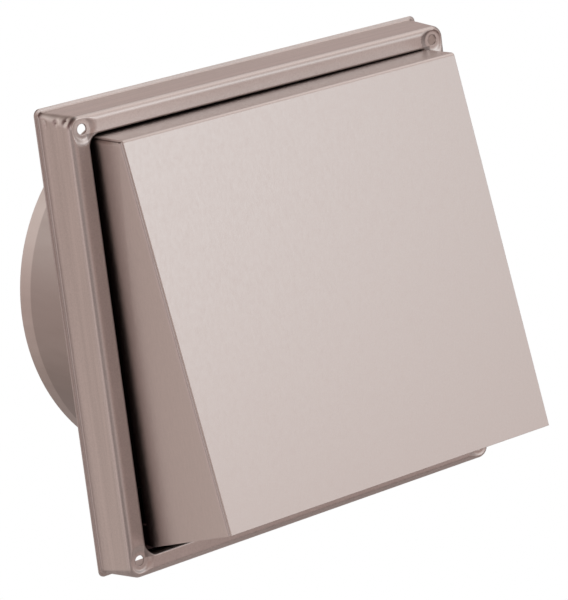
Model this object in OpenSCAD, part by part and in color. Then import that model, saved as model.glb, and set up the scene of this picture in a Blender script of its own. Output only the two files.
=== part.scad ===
// Hooded wall vent in stainless sheet: drawn square frame, folded hood, duct spigot and gravity flap.
// Built lying on its back: X to the right, Y up, Z out of the wall. on_wall() then stands it up, so that
// the finished part has Z up, the wall in the plane y = 0, the hood towards -Y and the spigot towards +Y.

/* [Spigot] */
// Outside diameter of the spigot, which goes into a 150 mm duct. The other widths follow from it outwards
spigot_d = 149; // [98:1:200]
// How far the spigot reaches behind the wall
spigot_len = 54; // [30:1:90]
// Wall of the spigot
spigot_sheet = 0.7; // [0.5:0.1:1]
// Width of the flange that joins the spigot to the back of the recess floor
spigot_flange_w = 5.5; // [3:0.5:7]

/* [Frame] */
// Depth from the wall to the face of the rim
frame_d = 20.4; // [16:0.2:30]
// From the wall of the recess to the outside of the flange
rim_w = 10; // [9:0.1:14]
// Thickness of the frame's sheet
frame_sheet = 0.8; // [0.6:0.1:1]
// Width of the narrow flange round the back edge
flange_w = 1.4; // [0.8:0.1:3]
// Corner radius of that flange
flange_corner_r = 2.5; // [1:0.5:6]
// Bend radius between that flange and the wall
flange_bend_r = 0.5; // [0.3:0.1:1]
// Lean of the side walls, so that the pressing leaves its die
wall_draft = 2; // [0:0.5:4]
// Radius of the frame's outer corners at the foot of the wall
frame_corner_r = 5.2; // [4:0.2:9]
// Bend radius between the wall and the rim
front_bend_r = 2.2; // [1.4:0.1:2.6]

/* [Recess] */
// Depth of the recess that the hood stands in
recess_depth = 4.2; // [3.6:0.1:6]
// Corner radius of the recess
recess_corner_r = 4.5; // [4:0.1:8]
// Bend radius of the edge between rim and recess
recess_edge_r = 1.2; // [1:0.1:1.6]
// Bend radius between the recess wall and its floor
recess_floor_r = 0.9; // [0.6:0.1:1.4]

/* [Screw holes] */
// From the outside of the flange to the middle of a screw hole
hole_inset = 7.2; // [6.8:0.1:7.6]
// Diameter of the screw holes
hole_d = 4.2; // [3.2:0.1:5]
// Diameter of the dished pocket round each hole, at the rim
pocket_d = 9; // [7:0.1:9.4]
// Depth of the pocket
pocket_depth = 1; // [0.4:0.1:1.2]
// Width of the pocket's sloped side
pocket_slope = 1.4; // [0.4:0.1:1.8]

/* [Hood] */
// Thickness of the hood's sheet
hood_sheet = 0.8; // [0.6:0.1:1]
// Gap between the recess wall and each side of the hood
hood_side_gap = 3; // [2:0.1:4]
// Gap between the recess wall and the top of the hood
hood_top_gap = 0.7; // [0.4:0.1:2]
// How far the hood's upper edge stands out from the rim
hood_top_reach = 17.4; // [12:0.2:26]
// How far the hood's lower edge stands out from the rim
hood_low_reach = 51.8; // [40:0.2:70]
// From the lower wall of the recess up to the front panel's lower edge
hood_low_gap = 15.8; // [10:0.2:30]
// Bend radius between the hood's top and its front
hood_bend_r = 1.6; // [1.2:0.1:3]
// Bend radius of the edges of the side panels
side_bend_r = 1.8; // [1.2:0.1:2.4]
// Width of the edges that turn in behind the cover
side_lap_w = 9; // [6:0.5:12]
// How far the side panels stay inside the edges of the cover
side_inset = 0.2; // [0:0.05:0.5]
// Gap between the recess wall and the lowest corner of the side panels
side_low_gap = 1.6; // [1:0.1:3]
// Height of the tabs that hold the side panels to the recess floor
side_tab_h = 14; // [8:1:18]
// Length of those tabs along the floor
side_tab_len = 11; // [6:0.5:12]
// From the recess walls above and below to the middle of those tabs
side_tab_inset = 17; // [14:1:20]
// Width of the cover's two rear tabs
cover_tab_w = 14; // [8:1:16]
// Length of those tabs down the floor
cover_tab_len = 8; // [5:0.5:9]
// Gap between those tabs and the feet of the hinge lugs
cover_tab_gap = 5.4; // [2:0.2:8]

/* [Flap] */
// Thickness of the flap
flap_sheet = 0.8; // [0.6:0.1:1]
// How far the flap laps over the duct opening
flap_lap = 1.2; // [0.8:0.1:2]
// Gap between the flap and each side panel
flap_side_gap = 1; // [0.6:0.1:3]
// Width of the flap where it meets its hinge
flap_neck_w = 68; // [50:1:70]
// Hinge axis below the top of the duct opening
hinge_drop = 1.8; // [1:0.1:3]
// Diameter of the hinge rod
rod_d = 3; // [2.4:0.1:3.4]
// Clearance round the rod in the flap's barrel
rod_clearance = 0.08; // [0.05:0.01:0.1]
// Clearance round the rod in the lugs
lug_clearance = 0.05; // [0.03:0.01:0.1]
// Clearance between the flap's barrel and each lug
flap_end_gap = 0.6; // [0.4:0.1:1]
// Gap between the closed flap and its seal
flap_rest_gap = 0.3; // [0.2:0.05:0.5]
// Thickness of the seal
seal_t = 1.4; // [1:0.1:2]
// Width of the seal
seal_w = 1.8; // [1.2:0.1:1.8]

/* [Hinge lugs] */
// Thickness of the lugs
lug_sheet = 1; // [0.8:0.1:1.2]
// Width of the lugs
lug_w = 7; // [6:0.5:8]
// From the middle of the rivet to the end of the lug's foot
lug_edge = 3.8; // [3.2:0.1:5]
// Diameter of the rivet shanks
rivet_d = 3.1; // [2.4:0.1:3.4]
// Clearance round the rivet shanks
rivet_clearance = 0.05; // [0.03:0.01:0.1]
// Diameter of the rivet heads
rivet_head_d = 6; // [5:0.5:6.5]
// Height of the rivet heads
rivet_head_h = 0.9; // [0.6:0.1:1.2]
// Gap between a rivet's head and the bend or flange beside it
rivet_gap = 0.5; // [0.3:0.1:1]

/* [Hidden] */
$fn = 96;
// Flats in a bend of the sheet
bend_steps = 6;
// Overcut, so that no two faces of a cut lie in one plane
over = 1;

steel = [0.72, 0.67, 0.64];
rubber = [0.13, 0.13, 0.13];

opening_r = spigot_d / 2 - spigot_sheet;
flap_r = opening_r + flap_lap;
side_half = flap_r + flap_side_gap + hood_sheet;
hood_half = side_half + side_inset;
recess_half = hood_half + hood_side_gap;
frame_half = recess_half + rim_w;
wall_half = frame_half - flange_w;
floor_z = frame_d - recess_depth;
hole_at = frame_half - hole_inset;

hood_top = recess_half - hood_top_gap;
hood_low = hood_low_gap - recess_half;
top_corner = [frame_d + hood_top_reach, hood_top];
low_corner = [frame_d + hood_low_reach, hood_low];
front_run = low_corner - top_corner;
front_len = norm(front_run);
front_lean = atan2(front_run.x, -front_run.y);
side_low = -(recess_half - side_low_gap);
side_tab_at = recess_half - side_tab_inset;

flap_back = floor_z + seal_t + flap_rest_gap;
barrel_bore_r = rod_d / 2 + rod_clearance;
barrel_r = barrel_bore_r + flap_sheet;
hinge_y = opening_r - hinge_drop;
hinge_z = flap_back + barrel_r;
lug_x = flap_neck_w / 2 + flap_end_gap;
rod_head_t = 0.8;
rod_head_r = rod_d / 2 + 0.9;
rod_half = lug_x + lug_sheet + rod_clearance;
lug_bend_r = 1.5 * lug_sheet;
rivet_set_r = rivet_d / 2 + 0.7;
rivet_reach = spigot_d / 2 + spigot_flange_w + rivet_gap + rivet_set_r;
rivet_x = max(lug_x + lug_bend_r + rivet_gap + rivet_head_d / 2, sqrt(pow(rivet_reach, 2) - pow(hinge_y, 2)));
lug_end = rivet_x + lug_edge;
cover_tab_at = lug_end + cover_tab_gap + cover_tab_w / 2;

// Stands the part up: what points out of the wall here points towards -Y
module on_wall() {
    rotate([90, 0, 0]) children();
}

// Points of an arc about a centre, from one angle to another
function arc(centre, r, from, to) =
    [for (i = [0:bend_steps]) let (a = from + (to - from) * i / bend_steps)
        centre + r * [cos(a), sin(a)]];

function unit(v) = v / norm(v);
function left_of(v) = [-v.y, v.x];
function turned(v, a) = [v.x * cos(a) - v.y * sin(a), v.x * sin(a) + v.y * cos(a)];
function backwards(list) = [for (i = [len(list) - 1:-1:0]) list[i]];

// One face of a bend at b, on the way from a to c. depth is how far that face lies to the left of the path
function bend(a, b, c, r, depth) =
    let (d1 = unit(b - a), d2 = unit(c - b),
        side = d1.x * d2.y - d1.y * d2.x > 0 ? 1 : -1,
        angle = acos(d1 * d2),
        centre = b - d1 * r * tan(angle / 2) + side * r * left_of(d1),
        spoke = -side * left_of(d1) * (r - side * depth))
    [for (i = [0:bend_steps]) centre + turned(spoke, side * angle * i / bend_steps)];

// One face of a sheet folded along the path, with bends of radius r on the path's side
function sheet_face(path, r, depth) =
    let (n = len(path) - 1,
        first = path[0] + depth * left_of(unit(path[1] - path[0])),
        last = path[n] + depth * left_of(unit(path[n] - path[n - 1])))
    [first, each [for (i = [1:n - 1]) each bend(path[i - 1], path[i], path[i + 1], r, depth)], last];

// Section of a folded sheet: the path is its outer face, and its thickness t lies to the left
module folded(path, r, t) {
    polygon(concat(sheet_face(path, r, 0), backwards(sheet_face(path, r, t))));
}

// Extrudes a section drawn in (out of the wall, up) across the width w
module across(w) {
    rotate([0, -90, 0]) linear_extrude(w, center = true) children();
}

// Square block with round corners. profile gives [distance outside the corner axis, height]
module square_block(axis_at, profile, low, high) {
    translate([-axis_at, -axis_at, low]) cube([2 * axis_at, 2 * axis_at, high - low]);
    for (side = [0:3]) rotate(90 * side) {
        translate([axis_at, axis_at, 0]) rotate([90, 0, 0]) linear_extrude(2 * axis_at) polygon(profile);
        translate([axis_at, axis_at, 0]) rotate_extrude(angle = 90) polygon(profile);
    }
}

// The frame's outside, or its inside when inset is the thickness of the sheet
module frame_skin(inset) {
    axis_at = wall_half - frame_corner_r;
    wall_foot = frame_sheet + flange_bend_r;
    bend_z = frame_d - front_bend_r;
    bend_x = frame_corner_r - (bend_z - wall_foot) * tan(wall_draft) - front_bend_r;
    low = inset > 0 ? -over : 0;
    outline = [
        [0, low],
        [frame_corner_r + flange_bend_r, low],
        each arc([frame_corner_r + flange_bend_r, wall_foot], flange_bend_r + inset, 270, 180 + wall_draft),
        each arc([bend_x, bend_z], front_bend_r - inset, wall_draft, 90),
        [0, frame_d - inset]];
    square_block(axis_at, outline, low, frame_d - inset);
}

// Plate of the narrow back flange, before the inside is taken out
module flange_plate() {
    axis_at = frame_half - flange_corner_r;
    linear_extrude(frame_sheet) {
        square([2 * frame_half, 2 * axis_at], center = true);
        square([2 * axis_at, 2 * frame_half], center = true);
        for (x = [-1, 1], y = [-1, 1]) translate([x * axis_at, y * axis_at]) circle(flange_corner_r);
    }
}

// What the recess takes out of the frame, grown by the sheet's thickness for the inside
module recess_block(grow) {
    axis_at = recess_half - recess_corner_r;
    outline = [
        [0, floor_z - grow],
        each arc([recess_corner_r - recess_floor_r, floor_z + recess_floor_r], recess_floor_r + grow, 270, 360),
        each arc([recess_corner_r + recess_edge_r, frame_d - recess_edge_r], recess_edge_r - grow, 180, 90),
        [recess_corner_r + recess_edge_r, frame_d + over],
        [0, frame_d + over]];
    square_block(axis_at, outline, floor_z - grow, frame_d + over);
}

// Puts something at the four screw holes
module at_holes() {
    for (x = [-1, 1], y = [-1, 1]) translate([x * hole_at, y * hole_at, 0]) children();
}

// Dished pockets round the screw holes
module pockets(grow) {
    slope_r = pocket_d / 2 - pocket_slope;
    at_holes() {
        translate([0, 0, frame_d - pocket_depth - grow])
            cylinder(h = pocket_depth, r1 = slope_r + grow, r2 = pocket_d / 2 + grow);
        translate([0, 0, frame_d - grow]) cylinder(h = grow + over, r = pocket_d / 2 + grow);
    }
}

module frame() {
    color(steel) on_wall() difference() {
        union() {
            frame_skin(0);
            flange_plate();
        }
        recess_block(0);
        pockets(0);
        difference() {
            frame_skin(frame_sheet);
            recess_block(frame_sheet);
            pockets(frame_sheet);
        }
        cylinder(h = frame_d, r = opening_r);
        at_holes() cylinder(h = frame_d, d = hole_d);
        at_rivets() cylinder(h = frame_d, d = rivet_d + 2 * rivet_clearance);
    }
}

// Rolled tube with a flange that is welded to the back of the recess floor
module spigot() {
    flange_z = floor_z - frame_sheet;
    flange_r = spigot_d / 2 + spigot_flange_w;
    color(steel) on_wall() rotate_extrude($fn = 180) union() {
        translate([opening_r, -spigot_len]) square([spigot_sheet, flange_z + spigot_len]);
        translate([opening_r, flange_z - spigot_sheet]) square([flange_r - opening_r, spigot_sheet]);
    }
}

// One sheet: the level top, the sloped front, and two tabs at the back that are welded to the floor
module hood_cover() {
    rear = [floor_z + side_bend_r, hood_top];
    tab_root = [floor_z + 3 * side_bend_r, hood_top];
    tab_bend = [floor_z, hood_top];
    tab_end = [floor_z, hood_top - cover_tab_len];
    color(steel) on_wall() {
        across(2 * hood_half) folded([low_corner, top_corner, rear], hood_bend_r, hood_sheet);
        for (x = [-1, 1]) translate([x * cover_tab_at, 0, 0])
            across(cover_tab_w) folded([tab_root, tab_bend, tab_end], side_bend_r, hood_sheet);
    }
}

// Places a section drawn in (x, depth behind the front panel) at the panel's lower edge, facing up its slope
module up_the_front() {
    translate([0, low_corner.y, low_corner.x]) rotate([-90 - front_lean, 0, 0]) children();
}

// Right-hand side panel: a trapezoid sheet whose front, top and rear edges turn in
module side_panel() {
    t = hood_sheet;
    leg = 3 * side_bend_r;
    lap_x = side_half - side_lap_w;
    under_top = hood_top - t;
    edge_in = (t + side_bend_r) / cos(front_lean);
    front_top = top_corner.x - edge_in + (under_top - side_bend_r - top_corner.y) * -tan(front_lean);
    front_low = low_corner.x - edge_in;
    rear = floor_z + side_bend_r;
    relief = hood_bend_r + side_bend_r;
    flat_side = [[rear, under_top - side_bend_r], [front_top, under_top - side_bend_r],
        [front_low, hood_low], [frame_d, side_low], [rear, side_low]];
    difference() {
        union() {
            translate([side_half - t / 2, 0, 0]) across(t) polygon(flat_side);
            up_the_front() linear_extrude(front_len - relief)
                folded([[lap_x, t], [side_half, t], [side_half, t + leg]], side_bend_r, t);
            translate([0, 0, rear]) linear_extrude(top_corner.x - relief - rear)
                folded([[side_half, under_top - leg], [side_half, under_top], [lap_x, under_top]],
                    side_bend_r, t);
            for (y = [-1, 1]) translate([0, y * side_tab_at + side_tab_h / 2, 0]) rotate([90, 0, 0])
                linear_extrude(side_tab_h) folded([[side_half - side_tab_len, floor_z],
                    [side_half, floor_z], [side_half, floor_z + leg]], side_bend_r, t);
        }
        // Trims the front lap level with the side panel's sloped lower edge
        low_trim();
    }
}

// Space below the line from the front panel's lower edge back to the lowest corner at the rim
module low_trim() {
    across(4 * frame_half) polygon([low_corner, [frame_d, side_low], [frame_d, side_low - rim_w],
        [low_corner.x + rim_w, side_low - rim_w], [low_corner.x + rim_w, hood_low]]);
}

module hood_side_left() {
    color(steel) on_wall() mirror([1, 0, 0]) side_panel();
}

module hood_side_right() {
    color(steel) on_wall() side_panel();
}

// Disc with a squared neck that is rolled into a barrel round the rod
module flap() {
    color(steel) on_wall() difference() {
        union() {
            translate([0, 0, flap_back]) linear_extrude(flap_sheet) difference() {
                union() {
                    circle(r = flap_r, $fn = 180);
                    translate([-flap_neck_w / 2, 0]) square([flap_neck_w, hinge_y]);
                }
                translate([-flap_r, hinge_y]) square([2 * flap_r, flap_r]);
            }
            translate([0, hinge_y, hinge_z]) rotate([0, 90, 0])
                cylinder(h = flap_neck_w, r = barrel_r, center = true);
        }
        translate([0, hinge_y, hinge_z]) rotate([0, 90, 0])
            cylinder(h = flap_neck_w + 2 * over, r = barrel_bore_r, center = true);
    }
}

// Hinge rod with a peened head outside each lug
module flap_rod() {
    color(steel) on_wall() translate([0, hinge_y, hinge_z]) rotate([0, 90, 0]) {
        cylinder(h = 2 * rod_half, d = rod_d, center = true);
        for (side = [0, 1]) mirror([0, 0, side]) translate([0, 0, rod_half])
            cylinder(h = rod_head_t, r1 = rod_head_r, r2 = rod_d / 2);
    }
}

// Right-hand lug: a foot on the recess floor and an upright with the hole for the rod
module lug() {
    foot = [[lug_end, floor_z], [lug_x, floor_z], [lug_x, hinge_z]];
    difference() {
        union() {
            translate([0, hinge_y + lug_w / 2, 0]) rotate([90, 0, 0]) linear_extrude(lug_w)
                folded(backwards(foot), lug_bend_r, lug_sheet);
            translate([lug_x + lug_sheet / 2, hinge_y, hinge_z]) rotate([0, 90, 0])
                cylinder(h = lug_sheet, d = lug_w, center = true);
        }
        translate([lug_x, hinge_y, hinge_z]) rotate([0, 90, 0])
            cylinder(h = 4 * lug_sheet, d = rod_d + 2 * lug_clearance, center = true);
        translate([rivet_x, hinge_y, 0]) cylinder(h = hinge_z, d = rivet_d + 2 * rivet_clearance);
    }
}

module flap_lug_left() {
    color(steel) on_wall() mirror([1, 0, 0]) lug();
}

module flap_lug_right() {
    color(steel) on_wall() lug();
}

// Puts something at the two rivets
module at_rivets() {
    for (x = [-1, 1]) translate([x * rivet_x, hinge_y, 0]) children();
}

// Blind rivets: low domed head in front, set head behind the floor
module lug_rivets() {
    back = floor_z - frame_sheet;
    front = floor_z + lug_sheet;
    color(steel) on_wall() at_rivets() {
        translate([0, 0, back - rivet_head_h]) cylinder(h = rivet_head_h, r = rivet_set_r);
        translate([0, 0, back]) cylinder(h = front - back, d = rivet_d);
        translate([0, 0, front]) cylinder(h = rivet_head_h, d1 = rivet_head_d, d2 = rivet_head_d * 0.6);
    }
}

// Thin ring round the duct opening
module flap_seal() {
    color(rubber) on_wall() translate([0, 0, floor_z]) difference() {
        cylinder(h = seal_t, r = opening_r + seal_w, $fn = 180);
        translate([0, 0, -over]) cylinder(h = seal_t + 2 * over, r = opening_r, $fn = 180);
    }
}

frame();
spigot();
hood_cover();
hood_side_left();
hood_side_right();
flap();
flap_rod();
flap_lug_left();
flap_lug_right();
lug_rivets();
flap_seal();
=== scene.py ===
# %% [markdown]
# # Hooded wall vent in satin stainless sheet
# The vent is a square drawn frame with a folded hood in front and a round duct spigot behind. A light
# flap hangs inside the hood and closes the duct when the fan stops. All of it is thin sheet, so almost
# every piece here is made in the way a sheet metal shop makes it: start from a flat edge, extend it,
# bend it, and give the finished surface its thickness at the end.

from math import atan2, cos, exp, hypot, pi, radians, sin, sqrt, tan

import bmesh
import bpy
from mathutils import Matrix, Vector


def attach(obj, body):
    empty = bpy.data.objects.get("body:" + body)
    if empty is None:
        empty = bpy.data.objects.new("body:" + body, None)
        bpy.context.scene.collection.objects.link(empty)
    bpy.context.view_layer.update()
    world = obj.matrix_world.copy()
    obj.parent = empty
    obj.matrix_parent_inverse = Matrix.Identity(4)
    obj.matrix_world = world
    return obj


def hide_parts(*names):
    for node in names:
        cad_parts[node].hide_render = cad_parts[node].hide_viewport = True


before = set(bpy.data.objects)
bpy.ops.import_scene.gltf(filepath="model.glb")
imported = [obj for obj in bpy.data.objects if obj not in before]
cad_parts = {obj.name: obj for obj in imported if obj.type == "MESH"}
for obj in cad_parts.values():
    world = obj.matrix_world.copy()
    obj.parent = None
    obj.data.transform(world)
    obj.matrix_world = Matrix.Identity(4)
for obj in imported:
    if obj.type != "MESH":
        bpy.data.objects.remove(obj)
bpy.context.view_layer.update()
scene = bpy.context.scene
scene.view_settings.view_transform = "Standard"
MM = 0.001
print("CAD nodes:", sorted(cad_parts))

# %% [markdown]
# ## The camera
# The photograph was taken with a long lens from the left and a little above, with the camera tilted, so
# the level edges of the vent climb to the right. A camera is easiest to place by the point that it looks
# at, its direction and its distance. It first looks level at that point, and then rolls about its own
# axis.

# %% Camera
AIM = Vector((6.53, -6.14, -4.78)) * MM
CAMERA_TURN = radians(-35.583)
CAMERA_HEIGHT = radians(13.999)
CAMERA_ROLL = radians(-7.125)
CAMERA_DISTANCE = 1.2759
LENS = 199.07

towards_camera = Vector((sin(CAMERA_TURN) * cos(CAMERA_HEIGHT), -cos(CAMERA_TURN) * cos(CAMERA_HEIGHT),
                         sin(CAMERA_HEIGHT)))
camera_data = bpy.data.cameras.new("camera")
camera_data.lens = LENS
camera_data.sensor_width = 36
camera = bpy.data.objects.new("camera", camera_data)
scene.collection.objects.link(camera)
look = (-towards_camera).to_track_quat("-Z", "Y").to_matrix().to_4x4()
camera.matrix_world = (Matrix.Translation(AIM + towards_camera * CAMERA_DISTANCE) @ look
                       @ Matrix.Rotation(CAMERA_ROLL, 4, "Z"))
scene.camera = camera
print("camera at", [round(c, 4) for c in camera.matrix_world.translation])

# %% [markdown]
# ## Helpers for sheet metal
# Pieces are drawn in millimetres, where the numbers are easy to read, and scaled to metres when they are
# finished. Two small steps make most of a folded piece. `extend` pulls an edge straight on, and `bend`
# carries it round an axis, as a press brake does. The wall thickness comes last, from a Solidify modifier
# that grows inwards, so the drawn surface is always the outside of the sheet.

# %% Extend and bend
def edges_of(geometry):
    return [e for e in geometry if isinstance(e, bmesh.types.BMEdge)]


def verts_of(geometry):
    return [v for v in geometry if isinstance(v, bmesh.types.BMVert)]


def extend(bm, edges, step):
    """Pulls edges straight on by a step and gives back the new edges."""
    new = bmesh.ops.extrude_edge_only(bm, edges=edges)["geom"]
    bmesh.ops.translate(bm, verts=verts_of(new), vec=step)
    moved = set(verts_of(new))
    return [e for e in edges_of(new) if all(v in moved for v in e.verts)]


def bend(bm, edges, centre, axis, angle, steps=8):
    """Carries edges round an axis and gives back the last edges."""
    turned = bmesh.ops.spin(bm, geom=edges, cent=centre, axis=axis, dvec=(0, 0, 0), angle=angle,
                            steps=steps, use_merge=False, use_duplicate=False)["geom_last"]
    return edges_of(turned)


# %% Finish a piece
SHARP_ANGLE = radians(32)


def face_outwards(bm, outside):
    """Turns the faces over if the one that looks most along the direction doesn't look that way."""
    bmesh.ops.recalc_face_normals(bm, faces=bm.faces)
    bm.normal_update()
    score = sum(f.normal.dot(outside(f.calc_center_median())) * f.calc_area() for f in bm.faces)
    if score < 0:
        bmesh.ops.reverse_faces(bm, faces=bm.faces)


def finish_piece(bm, name, body, nodes, material, sheet=0.0, edge=0.0):
    bmesh.ops.scale(bm, verts=bm.verts, vec=(MM, MM, MM))
    mesh = bpy.data.meshes.new(name)
    bm.to_mesh(mesh)
    bm.free()
    mesh.polygons.foreach_set("use_smooth", [True] * len(mesh.polygons))
    mesh.set_sharp_from_angle(angle=SHARP_ANGLE)
    mesh.materials.append(material)
    piece = bpy.data.objects.new(name, mesh)
    scene.collection.objects.link(piece)
    if sheet:
        wall = piece.modifiers.new("sheet thickness", "SOLIDIFY")
        wall.thickness = sheet * MM
        wall.offset = -1
        wall.use_even_offset = True
    if edge:
        rounding = piece.modifiers.new("edge rounding", "BEVEL")
        rounding.width = edge * MM
        rounding.segments = 2
        rounding.limit_method = "ANGLE"
        rounding.angle_limit = radians(50)
        rounding.harden_normals = True
    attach(piece, body)
    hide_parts(*nodes)
    print(f"{name}: {len(mesh.vertices)} vertices, {len(mesh.polygons)} faces")
    return piece


# %% [markdown]
# ## Satin stainless steel
# Stainless sheet comes from the mill with a fine grain, and drawing or folding leaves faint lines along
# the sheet. Metal has almost no colour of its own apart from its reflections, so the finish is one metallic
# shader with a warm grey tint, a roughness that varies a little, and a very low bump. Shade is also painted
# into the colour in two places: near black in the channel between the recess wall and the hood, and a
# painted shadow of the frame on the spigot, darker from the frame back towards the tube's end.

# %% Node helpers
def link_chain(links, *sockets):
    """Links sockets in pairs: output to input, output to input."""
    for out_socket, in_socket in zip(sockets[::2], sockets[1::2]):
        links.new(out_socket, in_socket)


def map_range(nodes, links, value, source, target, smooth=False):
    """A Map Range node from one pair of numbers to another, and its result."""
    node = nodes.new("ShaderNodeMapRange")
    if smooth:
        node.interpolation_type = "SMOOTHSTEP"
    for name, number in zip(("From Min", "From Max", "To Min", "To Max"), (*source, *target)):
        node.inputs[name].default_value = number
    links.new(value, node.inputs["Value"])
    return node.outputs["Result"]


def math_node(nodes, links, operation, *values):
    """A Math node on sockets or plain numbers, and its result."""
    node = nodes.new("ShaderNodeMath")
    node.operation = operation
    for i, value in enumerate(values):
        if isinstance(value, (int, float)):
            node.inputs[i].default_value = value
        else:
            links.new(value, node.inputs[i])
    return node.outputs["Value"]


def noise(nodes, links, place, stretch, detail):
    """Noise in object space, with its own scale along each axis, per metre."""
    scale = nodes.new("ShaderNodeMapping")
    scale.inputs["Scale"].default_value = stretch
    texture = nodes.new("ShaderNodeTexNoise")
    texture.inputs["Scale"].default_value = 1
    texture.inputs["Detail"].default_value = detail
    link_chain(links, place.outputs["Object"], scale.inputs["Vector"],
               scale.outputs["Vector"], texture.inputs["Vector"])
    return texture.outputs["Fac"]


# %% Steel
# Where painted shade darkens the channel round the hood, in mm: the depths where it starts and ends, and its
# inner and outer edges.
CHANNEL_FLOOR = 16.2
CHANNEL_OPEN = 23.0
CHANNEL_IN = 74.8
CHANNEL_OUT = 80.1


def painted_shade_mask(nodes, links, place, channel_only):
    """Mask for painted shade: 1 on open metal, down to 0 on the floor of the channel between the recess wall and
    the hood, where shade is painted into the colour.
    """
    split = nodes.new("ShaderNodeSeparateXYZ")
    links.new(place.outputs["Object"], split.inputs["Vector"])
    y = split.outputs["Y"]
    risen = map_range(nodes, links, y, (-CHANNEL_FLOOR * MM, -CHANNEL_OPEN * MM), (0, 1), True)
    if not channel_only:
        return risen
    away = math_node(nodes, links, "MAXIMUM", math_node(nodes, links, "ABSOLUTE", split.outputs["X"]),
                     math_node(nodes, links, "ABSOLUTE", split.outputs["Z"]))
    outside = map_range(nodes, links, away, (CHANNEL_OUT * MM, (CHANNEL_OUT + 1) * MM), (0, 1), True)
    inside = map_range(nodes, links, away, (CHANNEL_IN * MM, (CHANNEL_IN - 1) * MM), (0, 1), True)
    behind = math_node(nodes, links, "GREATER_THAN", y, (0.4 - CHANNEL_FLOOR) * MM)
    shade = math_node(nodes, links, "MAXIMUM", risen, outside)
    shade = math_node(nodes, links, "MAXIMUM", shade, inside)
    return math_node(nodes, links, "MAXIMUM", shade, behind)


def satin_steel(name, tint, roughness, line_scale, grain=0.05, streak=0.05, bump=0.02, channel=None,
                painted_shadow_end=None):
    """Rolled sheet: lines along the rolling direction and a fine grain vary the colour and the roughness.
    Optional painted shade darkens the channel round the hood, and an optional painted shadow darkens the spigot
    towards the frame.
    """
    material = bpy.data.materials.new(name)
    material.use_nodes = True
    nodes, links = material.node_tree.nodes, material.node_tree.links
    shader = nodes["Principled BSDF"]
    shader.inputs["Metallic"].default_value = 1
    place = nodes.new("ShaderNodeTexCoord")
    lines = noise(nodes, links, place, line_scale, 3)
    fine = noise(nodes, links, place, (1600, 1600, 1600), 2)
    both = math_node(nodes, links, "MULTIPLY_ADD", lines, 0.6, math_node(nodes, links, "MULTIPLY", fine, 0.4))
    links.new(map_range(nodes, links, both, (0.3, 0.7), (roughness - grain, roughness + grain)),
              shader.inputs["Roughness"])
    shade = nodes.new("ShaderNodeMix")
    shade.data_type = "RGBA"
    shade.inputs["A"].default_value = (*[c * (1 - streak) for c in tint], 1)
    shade.inputs["B"].default_value = (*[min(1, c * (1 + streak)) for c in tint], 1)
    links.new(map_range(nodes, links, both, (0.3, 0.7), (0, 1)), shade.inputs["Factor"])
    colour = shade.outputs["Result"]
    # Painted shade: the colour goes near black in the channel between the recess wall and the hood, where the
    # gap's shade falls.
    if channel:
        painted_shade = nodes.new("ShaderNodeMix")
        painted_shade.data_type = "RGBA"
        painted_shade.inputs["A"].default_value = (0.035, 0.024, 0.024, 1)
        link_chain(links, painted_shade_mask(nodes, links, place, channel == "frame"), painted_shade.inputs["Factor"],
                   colour, painted_shade.inputs["B"])
        colour = painted_shade.outputs["Result"]
    # Painted shadow: the spigot's colour is darker from the frame back to this depth, where the frame casts its
    # shadow; the rear end stays bright.
    if painted_shadow_end:
        split = nodes.new("ShaderNodeSeparateXYZ")
        links.new(place.outputs["Object"], split.inputs["Vector"])
        painted_shadow = nodes.new("ShaderNodeMix")
        painted_shadow.data_type = "RGBA"
        painted_shadow.blend_type = "MULTIPLY"
        painted_shadow.inputs["B"].default_value = (0.74, 0.73, 0.73, 1)
        edge = map_range(nodes, links, split.outputs["Y"], ((painted_shadow_end + 1) * MM, painted_shadow_end * MM), (0, 1), True)
        link_chain(links, edge, painted_shadow.inputs["Factor"], colour, painted_shadow.inputs["A"])
        colour = painted_shadow.outputs["Result"]
    links.new(colour, shader.inputs["Base Color"])
    height = nodes.new("ShaderNodeBump")
    height.inputs["Strength"].default_value = bump
    height.inputs["Distance"].default_value = 0.0005
    link_chain(links, both, height.inputs["Height"], height.outputs["Normal"], shader.inputs["Normal"])
    return material


STEEL_TINT = (0.72, 0.66, 0.64)
# The frame and the hood carry painted shade in the channel round the hood.
frame_steel = satin_steel("frame_steel", STEEL_TINT, 0.34, (14, 420, 14), streak=0.13, channel="frame")
hood_steel = satin_steel("hood_steel", STEEL_TINT, 0.34, (900, 900, 300), channel="hood")
# The spigot carries a painted shadow of the frame, darker from the frame back to 46 mm.
spigot_steel = satin_steel("spigot_steel", STEEL_TINT, 0.4, (300, 60, 300), painted_shadow_end=46)
flap_aluminium = satin_steel("flap_aluminium", (0.78, 0.78, 0.79), 0.32, (1500, 500, 500))
fittings_steel = satin_steel("fittings_steel", (0.66, 0.64, 0.62), 0.3, (1200, 1200, 1200))


def rubber_like(name, colour, roughness):
    material = bpy.data.materials.new(name)
    material.use_nodes = True
    nodes, links = material.node_tree.nodes, material.node_tree.links
    shader = nodes["Principled BSDF"]
    shader.inputs["Base Color"].default_value = (*colour, 1)
    place = nodes.new("ShaderNodeTexCoord")
    pores = nodes.new("ShaderNodeTexNoise")
    pores.inputs["Scale"].default_value = 900
    links.new(place.outputs["Object"], pores.inputs["Vector"])
    rough = nodes.new("ShaderNodeMapRange")
    rough.inputs["To Min"].default_value = roughness - 0.08
    rough.inputs["To Max"].default_value = roughness + 0.08
    links.new(pores.outputs["Fac"], rough.inputs["Value"])
    links.new(rough.outputs["Result"], shader.inputs["Roughness"])
    return material


seal_rubber = rubber_like("seal_rubber", (0.03, 0.03, 0.03), 0.7)

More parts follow.
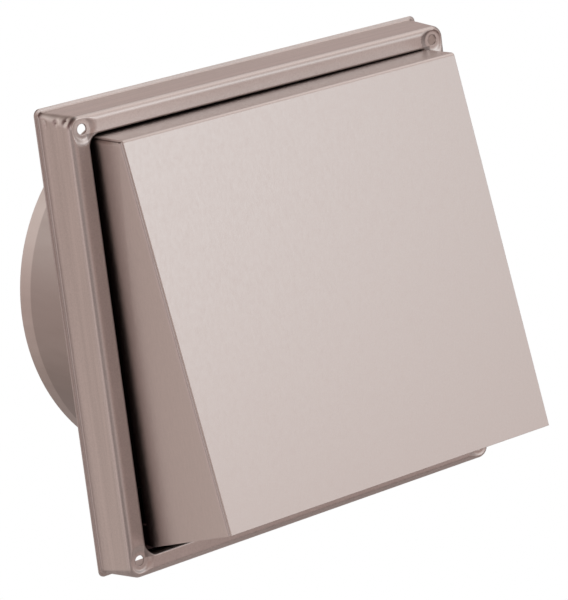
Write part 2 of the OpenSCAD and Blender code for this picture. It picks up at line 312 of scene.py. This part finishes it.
# %% [markdown]
# ## The drawn frame
# The frame is one sheet pressed in a die. Seen from outside it is a stack of rounded squares: the edge of
# the back flange, the foot of the wall, the front bend, the rim, the edge of the recess and its floor. A
# lathe tool can't make a square, but the same idea works. One ring of edges is extruded again and again,
# and each new ring is moved to its own rounded square, given by half its width, its corner radius and its
# place in depth. The corners of the ring need many vertices, because the screw pockets are pressed there.

# %% Sizes of the frame, in millimetres
FRAME_HALF = 90.0
FRAME_DEPTH = 20.4
FRAME_SHEET = 0.8
FLANGE_CORNER = 2.5
FLANGE_EDGE_R = 0.45
WALL_FOOT = (88.6, 2.0)
WALL_TOP = (88.01, 4.6)
FLANGE_BEND = 0.9
FRONT_BEND = 2.8
RECESS = (80.0, 4.5)
RECESS_DEPTH = 4.2
RECESS_EDGE = 1.2
FLOOR_BEND = 0.9
FLOOR_Y = RECESS_DEPTH - FRAME_DEPTH
OPENING_R = 73.8
HOLES = [(-82.5, 83.0), (82.3, 82.8), (82.8, -82.3), (-83.3, -81.2)]
HOLE_R = 2.0
POCKET_FLAT = 3.3
POCKET_R = 5.8
POCKET_DEPTH = 0.8


# %% One ring, and how it moves to the next rounded square
def first_ring(bm, half, radius, y, corner_steps=26, arm_steps=16, arm=11.0, far_steps=10):
    """A rounded square: one vertex spun round a corner, two arms pulled out of it, and four turns."""
    core = half - radius
    start = bm.verts.new((half, y, core))
    spun = bmesh.ops.spin(bm, geom=[start], cent=(core, y, core), axis=(0, -1, 0), dvec=(0, 0, 0),
                          angle=pi / 2, steps=corner_steps, use_merge=False, use_duplicate=False)
    finish = verts_of(spun["geom_last"])[0]
    lengths = [arm / arm_steps] * arm_steps + [(core - arm) / far_steps] * far_steps
    for end, direction in ((start, Vector((0, 0, -1))), (finish, Vector((-1, 0, 0)))):
        for length in lengths:
            end = bmesh.ops.extrude_vert_indiv(bm, verts=[end])["verts"][0]
            end.co += direction * length
    quarter = bm.verts[:] + bm.edges[:]
    bmesh.ops.spin(bm, geom=quarter, cent=(0, 0, 0), axis=(0, -1, 0), dvec=(0, 0, 0),
                   angle=1.5 * pi, steps=3, use_merge=False, use_duplicate=True)
    bmesh.ops.remove_doubles(bm, verts=bm.verts, dist=0.001)
    return bm.edges[:]


def next_ring(bm, edges, old, new):
    """Extrudes the ring and moves it from one (half width, corner radius, y) to another."""
    (half, radius, _), (new_half, new_radius, y) = old, new
    core, new_core = half - radius, new_half - new_radius
    geometry = bmesh.ops.extrude_edge_only(bm, edges=edges)["geom"]
    verts = set(verts_of(geometry))
    for v in verts:
        base = Vector((max(-core, min(core, v.co.x)), 0, max(-core, min(core, v.co.z))))
        spoke = Vector((v.co.x, 0, v.co.z)) - base
        v.co = base * (new_core / core) + spoke * (new_radius / radius)
        v.co.y = y
    return [e for e in edges_of(geometry) if all(v in verts for v in e.verts)]


def rounded(start, stop, steps):
    return [start + (stop - start) * i / steps for i in range(1, steps + 1)]


# %% The stack of rounded squares, from the flange's edge to the floor
def frame_rings():
    """Half width, corner radius and y of each ring of the frame's outer face."""
    half, radius = WALL_FOOT
    edge = FLANGE_EDGE_R
    rings = [(FRAME_HALF - edge * (1 - cos(a)), FLANGE_CORNER, edge * (1 - sin(a)) - FRAME_SHEET)
             for a in [0] + rounded(0, pi / 2, 4)]
    cove, foot_y = half + FLANGE_BEND, -FRAME_SHEET - FLANGE_BEND
    for a in [0] + rounded(0, pi / 2, 5):
        at = cove - FLANGE_BEND * sin(a)
        rings.append((at, radius + at - half, foot_y + FLANGE_BEND * cos(a)))
    bend_y = FRONT_BEND - FRAME_DEPTH
    for share in rounded(0, 1, 24):
        rings.append((half + (WALL_TOP[0] - half) * share, radius + (WALL_TOP[1] - radius) * share,
                      foot_y + (bend_y - foot_y) * share))
    half, radius = WALL_TOP
    for a in rounded(0, pi / 2, 12):
        at = half - FRONT_BEND * (1 - cos(a))
        rings.append((at, radius + at - half, bend_y - FRONT_BEND * sin(a)))
    rim_half, rim_radius, _ = rings[-1]
    edge_half, edge_radius = RECESS[0] + RECESS_EDGE, RECESS[1] + RECESS_EDGE
    for share in rounded(0, 1, 24):
        rings.append((rim_half + (edge_half - rim_half) * share,
                      rim_radius + (edge_radius - rim_radius) * share, -FRAME_DEPTH))
    for a in rounded(0, pi / 2, 8):
        rings.append((edge_half - RECESS_EDGE * sin(a), edge_radius - RECESS_EDGE * sin(a),
                      -FRAME_DEPTH + RECESS_EDGE * (1 - cos(a))))
    half, radius = RECESS
    for a in [0] + rounded(0, pi / 2, 6):
        rings.append((half - FLOOR_BEND * (1 - cos(a)), radius - FLOOR_BEND * (1 - cos(a)),
                      FLOOR_Y - FLOOR_BEND * (1 - sin(a))))
    return rings


def smooth_step(x):
    x = max(0.0, min(1.0, x))
    return x * x * (3 - 2 * x)


def from_hole(point):
    """How far a point lies from the middle of the nearest screw hole, as seen from the front."""
    return min(hypot(point.x - x, point.z - z) for x, z in HOLES)


def press_pockets(bm):
    """Presses the dished pockets: a vertex over a pocket goes back to the pocket's surface."""
    soft = 0.4
    for v in bm.verts:
        away = from_hole(v.co)
        if away < POCKET_R and v.co.y < -FRAME_DEPTH + 2.8:
            depth = POCKET_DEPTH * smooth_step((POCKET_R - away) / (POCKET_R - POCKET_FLAT))
            pocket_y = -FRAME_DEPTH + depth
            gap = pocket_y - v.co.y
            if gap > -soft:
                v.co.y += (gap + soft) ** 2 / (4 * soft) if gap < soft else gap


def pierce_holes(bm):
    """Cuts the level bottom out of each pocket and fills it again round a clean circle."""
    rim_y = 3 - FRAME_DEPTH
    inside = [f for f in bm.faces if from_hole(f.calc_center_median()) < HOLE_R + 0.3
              and f.calc_center_median().y < rim_y]
    bmesh.ops.delete(bm, geom=inside, context="FACES")
    for x, z in HOLES:
        ragged = [e for e in bm.edges if e.is_boundary and e.verts[0].co.y < rim_y
                  and hypot(e.verts[0].co.x - x, e.verts[0].co.z - z) < HOLE_R + 1.2]
        level = sum(e.verts[0].co.y for e in ragged) / len(ragged)
        circle = circle_edges(bm, HOLE_R, (x, level, z), 40)
        bmesh.ops.triangle_fill(bm, edges=ragged + circle, use_beauty=True, use_dissolve=False,
                                normal=(0, -1, 0))


def circle_edges(bm, radius, centre, segments):
    """A ring of edges that faces the viewer, round a point."""
    matrix = Matrix.Translation(centre) @ Matrix.Rotation(pi / 2, 4, "X")
    made = bmesh.ops.create_circle(bm, segments=segments, radius=radius, matrix=matrix)
    return list({e for v in made["verts"] for e in v.link_edges})


def press_dents(bm):
    """Presses the three shallow marks that the die left beside the upper left corner."""
    for y, z in DENTS:
        for v in bm.verts:
            if v.co.x < -85 and v.co.z > 80 and v.co.y < -1.5:
                away = hypot((v.co.y - y) / DENT_SIZE[0], (v.co.z - z) / DENT_SIZE[1])
                v.co.x += DENT_DEPTH * exp(-away * away)


def open_floor(bm, edges):
    """Pulls the last ring in to the round duct opening."""
    geometry = bmesh.ops.extrude_edge_only(bm, edges=edges)["geom"]
    for v in verts_of(geometry):
        spoke = Vector((v.co.x, 0, v.co.z)).normalized() * OPENING_R
        v.co = (spoke.x, FLOOR_Y, spoke.z)


# %% Build the frame
DENTS = [(-4.7, 85.0), (-11.2, 85.6), (-16.2, 86.4)]
DENT_SIZE = (0.85, 1.2)
DENT_DEPTH = 0.6

bm = bmesh.new()
rings = frame_rings()
ring_edges = first_ring(bm, *rings[0])
for old, new in zip(rings, rings[1:]):
    ring_edges = next_ring(bm, ring_edges, old, new)
open_floor(bm, ring_edges)
press_pockets(bm)
press_dents(bm)
pierce_holes(bm)
face_outwards(bm, lambda at: Vector((0, -1, 0)))
finish_piece(bm, "drawn_frame", "casing", ["frame"], frame_steel, FRAME_SHEET)

# %% [markdown]
# ## The hood
# The hood is three folded sheets. The cover is a strip: the sloped front panel, a tight bend, and the
# level top, with two small tabs that are welded to the floor of the recess. Each cheek is a trapezoid whose
# front and top edges turn in behind the cover. That is why the front panel shows a raw edge with a thin
# dark seam and a bright rounded strip beside it.

# %% Sizes of the hood
HOOD_HALF = 77.0
HOOD_SHEET = 0.8
HOOD_TOP = 79.3
TOP_CORNER = (-37.8, 79.3)
LOW_CORNER = (-72.2, -64.2)
HOOD_BEND = 1.6
SIDE_HALF = 77.6
SIDE_BEND = 1.8
SIDE_LAP = 9.0
SIDE_LOW = -78.4
REAR_Y = FLOOR_Y - SIDE_BEND
COVER_TAB = (50.0, 64.0)
COVER_TAB_LOW = 71.3
SIDE_TAB = (56.0, 70.0)
SIDE_TAB_LEN = 11.0
CHEEK_GAP = 0.3
TAB_RELIEF = 0.6
CORNER_EAR = 1.4
CORNER_SLIT = (0.9, 0.2)
LEAN = atan2(TOP_CORNER[0] - LOW_CORNER[0], TOP_CORNER[1] - LOW_CORNER[1])
UP_FRONT = Vector((0, sin(LEAN), cos(LEAN)))
INTO_HOOD = Vector((0, cos(LEAN), -sin(LEAN)))
front_length = hypot(TOP_CORNER[0] - LOW_CORNER[0], TOP_CORNER[1] - LOW_CORNER[1])
print("front panel leans", round(LEAN * 180 / pi, 2), "degrees and is", round(front_length, 1), "mm long")

# %% [markdown]
# The hood in the photograph was folded by hand tools: it is a little wider at the top than at the bottom
# and stands a shade crooked. One small shear at the end gives all three sheets that same slant.

# %% The hood's slant
HOOD_WIDTH_TOP = 77.7
HOOD_WIDTH_LOW = 76.5
LIFT_TOP_RIGHT = 0.6
LIFT_LOW_LEFT = 0.6
LIFT_LOW_RIGHT = 0.3


def slant(bm):
    """Widens the hood towards its top and lifts three of its corners a little."""
    for v in bm.verts:
        share = (v.co.z - LOW_CORNER[1]) / (TOP_CORNER[1] - LOW_CORNER[1])
        right = (v.co.x + HOOD_HALF) / (2 * HOOD_HALF)
        v.co.x *= (HOOD_WIDTH_LOW + (HOOD_WIDTH_TOP - HOOD_WIDTH_LOW) * share) / HOOD_HALF
        low = LIFT_LOW_LEFT + (LIFT_LOW_RIGHT - LIFT_LOW_LEFT) * right
        v.co.z += LIFT_TOP_RIGHT * right * share + low * (1 - share)


# %% Fold the cover
bm = bmesh.new()
stops = [-HOOD_HALF, -COVER_TAB[1], -COVER_TAB[0], COVER_TAB[0], COVER_TAB[1], HOOD_HALF]
row = [bm.verts.new((x, *LOW_CORNER)) for x in stops]
edges = [bm.edges.new(pair) for pair in zip(row, row[1:])]
turn = pi / 2 - LEAN
bend_start = HOOD_BEND * tan(turn / 2)
edges = extend(bm, edges, UP_FRONT * (front_length - bend_start))
corner = Vector((0, *TOP_CORNER))
edges = bend(bm, edges, corner - UP_FRONT * bend_start + INTO_HOOD * HOOD_BEND, (-1, 0, 0), turn, 10)
top_y = edges[0].verts[0].co.y
edges = extend(bm, edges, Vector((0, REAR_Y - top_y, 0)))
tabs = [e for e in edges if COVER_TAB[0] - 1 < min(abs(v.co.x) for v in e.verts)
        and max(abs(v.co.x) for v in e.verts) < COVER_TAB[1] + 1]
tabs = bend(bm, tabs, (0, REAR_Y, HOOD_TOP - SIDE_BEND), (-1, 0, 0), pi / 2)
extend(bm, tabs, Vector((0, 0, COVER_TAB_LOW - HOOD_TOP + SIDE_BEND)))
slant(bm)
face_outwards(bm, lambda at: Vector((0, -1, 0.3)))
finish_piece(bm, "hood_front_and_top", "casing", ["hood_cover"], hood_steel, HOOD_SHEET, 0.12)


# %% Fold a cheek
def cheek(side):
    """One side panel, drawn for the right and mirrored for the left."""
    bm = bmesh.new()
    inner_x = SIDE_HALF - SIDE_BEND
    bend_z = HOOD_TOP - HOOD_SHEET - SIDE_BEND
    behind = HOOD_SHEET + SIDE_BEND

    def on_front(up):
        point = Vector((0, *LOW_CORNER)) + UP_FRONT * up + INTO_HOOD * behind
        return point.y, point.z

    corner_up = (bend_z - on_front(0)[1]) / cos(LEAN)
    slit_y = on_front(corner_up)[0] + CORNER_SLIT[0]
    ear_y, ear_z = on_front(corner_up + CORNER_EAR)
    foot_y = FLOOR_Y - CHEEK_GAP
    low, high = SIDE_TAB
    outline = [(REAR_Y, bend_z), (slit_y, bend_z), (slit_y - CORNER_SLIT[1], ear_z),
               (ear_y, ear_z), on_front(-14), (-FRAME_DEPTH, -86),
               (foot_y, -86), (foot_y, -high - TAB_RELIEF), (REAR_Y, -high - TAB_RELIEF), (REAR_Y, -high),
               (REAR_Y, -low), (REAR_Y, TAB_RELIEF - low), (foot_y, TAB_RELIEF - low),
               (foot_y, low - TAB_RELIEF), (REAR_Y, low - TAB_RELIEF), (REAR_Y, low), (REAR_Y, high)]
    corners = [bm.verts.new((SIDE_HALF, *outline[0]))]
    for y, z in outline[1:]:
        corners += bmesh.ops.extrude_vert_indiv(bm, verts=corners[-1:])["verts"]
        corners[-1].co = (SIDE_HALF, y, z)
    bmesh.ops.contextual_create(bm, geom=[corners[0], corners[-1]])
    bmesh.ops.contextual_create(bm, geom=bm.edges[:])

    def edge_between(a, b):
        return [e for e in corners[a].link_edges if e.other_vert(corners[a]) == corners[b]]

    top, front = edge_between(0, 1), edge_between(3, 4)
    tabs = edge_between(9, 10) + edge_between(15, 16)
    top = bend(bm, top, (inner_x, 0, bend_z), (0, -1, 0), pi / 2)
    extend(bm, top, Vector((SIDE_BEND - SIDE_LAP, 0, 0)))
    pivot = Vector((inner_x, *on_front(0)))
    front = bend(bm, front, pivot, UP_FRONT, -pi / 2)
    extend(bm, front, Vector((SIDE_BEND - SIDE_LAP, 0, 0)))
    tabs = bend(bm, tabs, (inner_x, REAR_Y, 0), (0, 0, 1), pi / 2)
    extend(bm, tabs, Vector((SIDE_BEND - SIDE_TAB_LEN, 0, 0)))
    lower = Vector((0, *LOW_CORNER)) - Vector((0, -FRAME_DEPTH, SIDE_LOW))
    below = Vector((0, -lower.z, lower.y)).normalized()
    below = below if below.z < 0 else -below
    bmesh.ops.bisect_plane(bm, geom=bm.verts[:] + bm.edges[:] + bm.faces[:], plane_co=(0, *LOW_CORNER),
                           plane_no=below, clear_outer=True)
    bmesh.ops.bisect_plane(bm, geom=bm.verts[:] + bm.edges[:] + bm.faces[:], plane_co=(0, 0, SIDE_LOW),
                           plane_no=(0, 0, -1), clear_outer=True)
    if side < 0:
        bmesh.ops.scale(bm, verts=bm.verts, vec=(-1, 1, 1))
    slant(bm)
    face_outwards(bm, lambda at: Vector((side, 0, 0)))
    name, node = ("cheek_right", "hood_side_right") if side > 0 else ("cheek_left", "hood_side_left")
    finish_piece(bm, name, "casing", [node], hood_steel, HOOD_SHEET, 0.12)


for side in (-1, 1):
    cheek(side)

# %% [markdown]
# ## The spigot
# The spigot is a rolled tube with a flange welded behind the floor of the recess. Spinning its profile
# once round the axis makes both.

# %% Spin the spigot
SPIGOT_R = 74.5
SPIGOT_END = 54.0
SPIGOT_FLANGE_R = 80.0
SPIGOT_SHEET = 0.7
SPIGOT_BEND = 1.2
flange_y = FLOOR_Y + FRAME_SHEET + SPIGOT_SHEET

bm = bmesh.new()
point = bm.verts.new((SPIGOT_FLANGE_R, flange_y, 0))


def draw(point, step):
    new = bmesh.ops.extrude_vert_indiv(bm, verts=[point])["verts"][0]
    new.co += Vector(step)
    return new


point = draw(point, (SPIGOT_R + SPIGOT_BEND - SPIGOT_FLANGE_R, 0, 0))
arc = bmesh.ops.spin(bm, geom=[point], cent=(SPIGOT_R + SPIGOT_BEND, flange_y + SPIGOT_BEND, 0),
                     axis=(0, 0, 1), dvec=(0, 0, 0), angle=-pi / 2, steps=6, use_merge=False,
                     use_duplicate=False)
point = verts_of(arc["geom_last"])[0]
draw(point, (0, SPIGOT_END - point.co.y, 0))
bmesh.ops.spin(bm, geom=bm.verts[:] + bm.edges[:], cent=(0, 0, 0), axis=(0, 1, 0), dvec=(0, 0, 0),
               angle=2 * pi, steps=192, use_merge=True, use_duplicate=False)
bmesh.ops.remove_doubles(bm, verts=bm.verts, dist=0.001)
face_outwards(bm, lambda at: Vector((at.x, 0, at.z)).normalized())
finish_piece(bm, "duct_spigot", "casing", ["spigot"], spigot_steel, SPIGOT_SHEET, 0.12)

# %% [markdown]
# ## The flap
# The flap is a disc of thin aluminium. Its neck runs up into a barrel that is rolled round the hinge rod.
# The disc is a capped circle cut off level where the neck begins, the neck is its cut edge pulled up, and
# the barrel is that edge carried round the rod.

# %% Roll the flap
FLAP_R = 75.0
FLAP_Y = -17.9
FLAP_SHEET = 0.8
NECK_HALF = 34.0
HINGE = (-20.28, 72.0)
BARREL_R = 2.38

bm = bmesh.new()
bmesh.ops.create_circle(bm, cap_ends=True, segments=180, radius=FLAP_R,
                        matrix=Matrix.Translation((0, FLAP_Y, 0)) @ Matrix.Rotation(pi / 2, 4, "X"))
shoulder = sqrt(FLAP_R ** 2 - NECK_HALF ** 2)
cut = bmesh.ops.bisect_plane(bm, geom=bm.verts[:] + bm.edges[:] + bm.faces[:], plane_co=(0, 0, shoulder),
                             plane_no=(0, 0, 1), clear_outer=True)["geom_cut"]
neck = extend(bm, edges_of(cut), Vector((0, 0, HINGE[1] - shoulder)))
bend(bm, neck, (0, *HINGE), (-1, 0, 0), -radians(325), 36)
face_outwards(bm, lambda at: Vector((0, 1, 0)))
finish_piece(bm, "draught_flap", "flap", ["flap"], flap_aluminium, FLAP_SHEET, 0.1)

# %% [markdown]
# ## The seal and the small fittings
# A thin rubber ring lies round the duct opening. The rod, its lugs and the rivets are right as the CAD
# solids, so they stay and only take a finish.

# %% Seal, rod, lugs and rivets
SEAL_T = 1.4
SEAL_W = 1.8
SEAL_ROUND = 0.35

bm = bmesh.new()
section = bmesh.ops.create_circle(bm, segments=4, radius=1, matrix=Matrix.Rotation(pi / 4, 4, "Z"))["verts"]
bmesh.ops.scale(bm, verts=section, vec=(SEAL_W / sqrt(2), SEAL_T / sqrt(2), 1))
bmesh.ops.bevel(bm, geom=section, offset=SEAL_ROUND, affect="VERTICES", segments=4, profile=0.5, material=-1)
bmesh.ops.translate(bm, verts=bm.verts, vec=(OPENING_R + SEAL_W / 2, FLOOR_Y - SEAL_T / 2, 0))
bmesh.ops.spin(bm, geom=bm.verts[:] + bm.edges[:], cent=(0, 0, 0), axis=(0, 1, 0), dvec=(0, 0, 0),
               angle=2 * pi, steps=160, use_merge=True, use_duplicate=False)
bmesh.ops.remove_doubles(bm, verts=bm.verts, dist=0.001)
bmesh.ops.recalc_face_normals(bm, faces=bm.faces)
finish_piece(bm, "flap_seal_ring", "casing", ["flap_seal"], seal_rubber)

for node in ("flap_rod", "flap_lug_left", "flap_lug_right", "lug_rivets"):
    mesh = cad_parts[node].data
    mesh.materials.clear()
    mesh.materials.append(fittings_steel)
    print(node, "takes", fittings_steel.name)

# %% [markdown]
# ## Light and backdrop
# Polished or satin metal shows what stands around it, so a studio surrounds it with large white and grey
# cards. Here the world does that: it is white where the camera looks past the object, and each card is a
# soft spot of light in one direction.

# %% World
CARDS = [  # direction, sharpness, colour
    ((-0.8, 0.5, 0.2), 2, (0.08, 0.0, 0.0)),
    ((0.565, -0.8, 0.2), 2, (0.08, 0.01, 0.0)),
    ((0, 1, 0.1), 2, (0.38, 0.31, 0.27)),
    ((-0.2, -0.9, 0.3), 3, (0.37, 0.28, 0.25)),
    ((0.563, -0.812, 0.143), 12, (0.65, 0.69, 0.68)),
    ((0.43, -0.87, 0.35), 60, (0.83, 1.0, 1.08)),
    ((0.36, -0.9, 0.45), 30, (0.16, 0.2, 0.2)),
    ((0.5, -0.6, 0.55), 40, (0.37, 0.34, 0.32)),
    ((0.539, -0.826, -0.183), 60, (0.05, 0.0, 0.0)),
    ((0.61, -0.778, -0.171), 60, (0.21, 0.16, 0.14)),
    ((0.565, 0.789, 0.242), 12, (0.34, 0.28, 0.28)),
    ((0.8, 0.55, 0.2), 25, (0.04, 0.03, 0.03)),
    ((0.565, 0.3, 0.77), 25, (0.9, 0.85, 0.83)),
    ((0.565, -0.242, 0.789), 20, (0.9, 0.84, 0.81)),
    ((0.565, -0.1, 0.8), 40, (0.38, 0.35, 0.33)),
    ((-0.24, 0.79, 0.56), 40, (0.16, 0.16, 0.15)),
    ((-0.49, 0.789, 0.368), 12, (0.66, 0.69, 0.67)),
    ((-0.7, 0.6, -0.45), 25, (0.62, 0.62, 0.59)),
    ((-0.98, 0.0, -0.24), 25, (0.8, 0.73, 0.69)),
    ((-0.83, -0.57, 0.08), 40, (0.82, 0.79, 0.78)),
    ((-0.96, 0.29, 0.0), 40, (0.53, 0.49, 0.48)),
    ((-0.786, -0.43, 0.337), 40, (0.4, 0.37, 0.37)),
    ((-0.3, -0.85, -0.4), 25, (0.48, 0.46, 0.46)),
    ((1, 0, 0.05), 8, (0.45, 0.43, 0.42)),
]
ROOM = (0, 0, 0)
BACKDROP = (0.565, 0.789, -0.242)
BACKDROP_EDGE = (0.984, 0.992)

world = bpy.data.worlds.new("studio")
scene.world = world
world.use_nodes = True
nodes, links = world.node_tree.nodes, world.node_tree.links
place = nodes.new("ShaderNodeTexCoord")


def towards(direction):
    """How closely a ray's direction agrees with another: 1 along it, 0 at a right angle and behind."""
    dot = nodes.new("ShaderNodeVectorMath")
    dot.operation = "DOT_PRODUCT"
    dot.inputs[1].default_value = Vector(direction).normalized()
    links.new(place.outputs["Generated"], dot.inputs[0])
    return math_node(nodes, links, "MAXIMUM", dot.outputs["Value"], 0.0)


def vector_node(operation, *values):
    node = nodes.new("ShaderNodeVectorMath")
    node.operation = operation
    for socket, value in zip(node.inputs, values):
        if isinstance(value, tuple):
            socket.default_value = value
        else:
            links.new(value, socket)
    return node


light = None
for direction, sharpness, colour in CARDS:
    card = vector_node("SCALE", colour)
    links.new(math_node(nodes, links, "POWER", towards(direction), float(sharpness)), card.inputs["Scale"])
    light = vector_node("ADD", card.outputs["Vector"], light.outputs["Vector"] if light else ROOM)
cards = nodes["Background"]
links.new(light.outputs["Vector"], cards.inputs["Color"])
white = nodes.new("ShaderNodeBackground")
white.inputs["Color"].default_value = (1, 1, 1, 1)
rays = nodes.new("ShaderNodeLightPath")
behind = map_range(nodes, links, towards(BACKDROP), BACKDROP_EDGE, (0, 1), True)
shiny = math_node(nodes, links, "MAXIMUM", rays.outputs["Is Glossy Ray"], rays.outputs["Is Transmission Ray"])
seen = math_node(nodes, links, "MAXIMUM", rays.outputs["Is Camera Ray"],
                 math_node(nodes, links, "MULTIPLY", shiny, behind))
mix = nodes.new("ShaderNodeMixShader")
link_chain(links, seen, mix.inputs["Fac"], cards.outputs["Background"], mix.inputs[1],
           white.outputs["Background"], mix.inputs[2], mix.outputs["Shader"],
           nodes["World Output"].inputs["Surface"])
print(len(CARDS), "cards of light")

# %% [markdown]
# The floor lies well below, so the vent seems to float as it does in the photograph. It is a plain pale
# disc, out of the picture, that takes the vent's soft shadow and shows in the metal that faces down.

# %% Floor
FLOOR_Z = -0.45
FLOOR_R = 0.72

bm = bmesh.new()
bmesh.ops.create_circle(bm, cap_ends=True, segments=96, radius=FLOOR_R,
                        matrix=Matrix.Translation((0, 0, FLOOR_Z)))
mesh = bpy.data.meshes.new("floor")
bm.to_mesh(mesh)
bm.free()
floor = bpy.data.objects.new("floor", mesh)
scene.collection.objects.link(floor)
pale = bpy.data.materials.new("pale_floor")
pale.use_nodes = True
matt = pale.node_tree.nodes["Principled BSDF"]
matt.inputs["Base Color"].default_value = (0.85, 0.85, 0.85, 1)
matt.inputs["Roughness"].default_value = 0.9
mesh.materials.append(pale)
